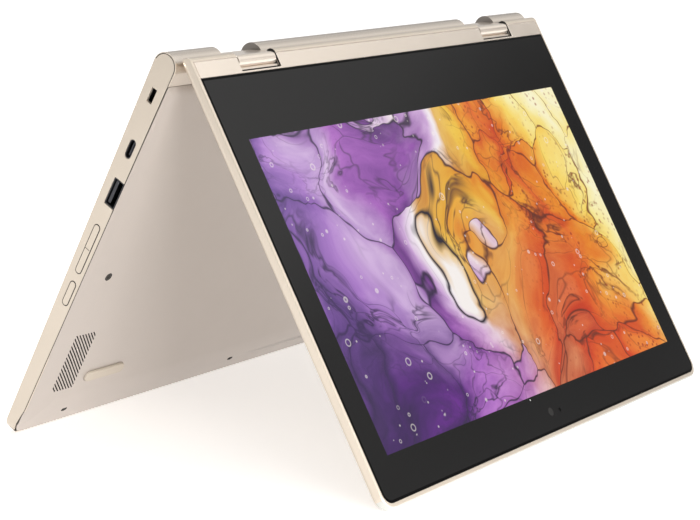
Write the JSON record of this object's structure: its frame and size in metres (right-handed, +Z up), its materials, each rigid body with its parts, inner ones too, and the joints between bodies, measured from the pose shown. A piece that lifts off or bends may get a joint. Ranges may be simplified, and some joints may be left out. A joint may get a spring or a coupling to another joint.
{
  "type": "laptop computer",
  "caption": "Convertible laptop standing in tent mode: keyboard base, touch display lid and a double-axis hinge between them.",
  "frame": {"origin": "bottom centre of the bounding box, on the surface that it stands on", "axes": "+Z up, the display faces -Y, +X to the right as one looks at the display"},
  "size_m": [0.2902, 0.2116, 0.1811],
  "materials": {
    "champagne_shell": "fine satin metallic paint",
    "champagne_cover": "satin paint on the bottom cover",
    "hinge_metal": "satin metallic paint on zinc",
    "steel": "plain stamped steel",
    "screw_black": "dark oxide",
    "bronze": "friction washers",
    "foot_rubber": "matte rubber in the case colour",
    "key_plastic": "matte keycaps with printed legends",
    "membrane": "silicone dome sheet",
    "touchpad_surface": "smooth satin pad",
    "circuit_board": "solder mask",
    "black_plastic": "moulded black plastic",
    "copper": "copper sheet",
    "battery": "wrapped pouch cells",
    "screen_glass": "glossy cover glass with a black printed border",
    "display": "lit panel with an abstract wallpaper",
    "silver_can": "pressed can"
  },
  "bodies": {
    "base": {"top_case": "champagne_shell", "bottom_cover": "champagne_cover", "cover_screws": "screw_black", "front_feet": "foot_rubber", "rear_foot": "foot_rubber", "keyboard_grid": "champagne_shell", "keyboard_plate": "steel", "keyboard_membrane": "membrane", "touchpad_bracket": "steel", "mainboard": "circuit_board", "mainboard_chips": "black_plastic", "io_board": "circuit_board", "heat_spreader": "copper", "battery_tray": "black_plastic", "battery_cells": "battery", "speaker_left": "black_plastic", "speaker_right": "black_plastic", "usb_c_right": "steel", "usb_a_right": "steel", "usb_c_left": "steel", "usb_a_left": "steel", "audio_jack": "black_plastic", "card_slot": "steel", "lock_plate": "steel", "button_board": "circuit_board", "wireless_card": "circuit_board", "base_hinge_left": "steel", "base_hinge_right": "steel", "base_hinge_screws": "screw_black"},
    "hinge_links": {"hinge_cap_left": "hinge_metal", "hinge_cap_right": "hinge_metal", "hinge_links": "steel", "friction_washers": "bronze"},
    "lid": {"lid_back_cover": "champagne_shell", "hinge_trim": "champagne_shell", "touch_glass": "screen_glass", "lcd_panel": "display", "camera_module": "black_plastic", "microphones": "silver_can", "lid_hinge_left": "steel", "lid_hinge_right": "steel", "lid_hinge_screws": "screw_black", "display_cable": "black_plastic", "antennas": "copper", "lid_magnets": "steel"},
    "function_keys": {"function_keys": "key_plastic"},
    "number_keys": {"number_keys": "key_plastic"},
    "upper_keys": {"upper_keys": "key_plastic"},
    "home_keys": {"home_keys": "key_plastic"},
    "lower_keys": {"lower_keys": "key_plastic"},
    "bottom_keys": {"bottom_keys": "key_plastic"},
    "space_bar": {"space_bar": "key_plastic"},
    "arrow_keys": {"arrow_keys": "key_plastic"},
    "touchpad": {"touchpad": "touchpad_surface"},
    "power_button": {"power_button": "champagne_shell"},
    "volume_rocker": {"volume_rocker": "champagne_shell"}
  },
  "joints": [
    {"name": "base_hinge", "type": "hinge", "parent": "base", "child": "hinge_links", "pos_m": [0, 0.00775, 0.17494], "axis": [1, 0, 0], "range_deg": [-151.33, 29.5]},
    {"name": "lid_hinge", "type": "hinge", "parent": "hinge_links", "child": "lid", "pos_m": [0, -0.0035, 0.17499], "axis": [1, 0, 0], "range_deg": [-151.33, 29.5]},
    {"name": "function_keys_press", "type": "slide", "parent": "base", "child": "function_keys", "axis": [0, -0.884, -0.4675], "range_m": [0, 0.0012], "stiffness_N_per_m": 1500, "springref_m": -0.0004},
    {"name": "number_keys_press", "type": "slide", "parent": "base", "child": "number_keys", "axis": [0, -0.884, -0.4675], "range_m": [0, 0.0012], "stiffness_N_per_m": 1500, "springref_m": -0.0004},
    {"name": "upper_keys_press", "type": "slide", "parent": "base", "child": "upper_keys", "axis": [0, -0.884, -0.4675], "range_m": [0, 0.0012], "stiffness_N_per_m": 1500, "springref_m": -0.0004},
    {"name": "home_keys_press", "type": "slide", "parent": "base", "child": "home_keys", "axis": [0, -0.884, -0.4675], "range_m": [0, 0.0012], "stiffness_N_per_m": 1500, "springref_m": -0.0004},
    {"name": "lower_keys_press", "type": "slide", "parent": "base", "child": "lower_keys", "axis": [0, -0.884, -0.4675], "range_m": [0, 0.0012], "stiffness_N_per_m": 1500, "springref_m": -0.0004},
    {"name": "bottom_keys_press", "type": "slide", "parent": "base", "child": "bottom_keys", "axis": [0, -0.884, -0.4675], "range_m": [0, 0.0012], "stiffness_N_per_m": 1500, "springref_m": -0.0004},
    {"name": "space_bar_press", "type": "slide", "parent": "base", "child": "space_bar", "axis": [0, -0.884, -0.4675], "range_m": [0, 0.0012], "stiffness_N_per_m": 900, "springref_m": -0.0004},
    {"name": "arrow_keys_press", "type": "slide", "parent": "base", "child": "arrow_keys", "axis": [0, -0.884, -0.4675], "range_m": [0, 0.0012], "stiffness_N_per_m": 900, "springref_m": -0.0004},
    {"name": "touchpad_click", "type": "hinge", "parent": "base", "child": "touchpad", "pos_m": [0, 0.07365, 0.05877], "axis": [-1, 0, 0], "range_deg": [0, 0.35], "stiffness_Nm_per_rad": 8, "springref_deg": -0.23},
    {"name": "power_press", "type": "slide", "parent": "base", "child": "power_button", "axis": [1, 0, 0], "range_m": [0, 0.0004], "stiffness_N_per_m": 2500, "springref_m": -0.0004},
    {"name": "volume_rock", "type": "hinge", "parent": "base", "child": "volume_rocker", "pos_m": [-0.1429, 0.0522, 0.09221], "axis": [0, 0.8727, 0.4883], "range_deg": [-1.3, 1.3], "stiffness_Nm_per_rad": 2}
  ],
  "couplings": [
    {"joint": "lid_hinge", "follows": "base_hinge", "ratio": 1}
  ]
}
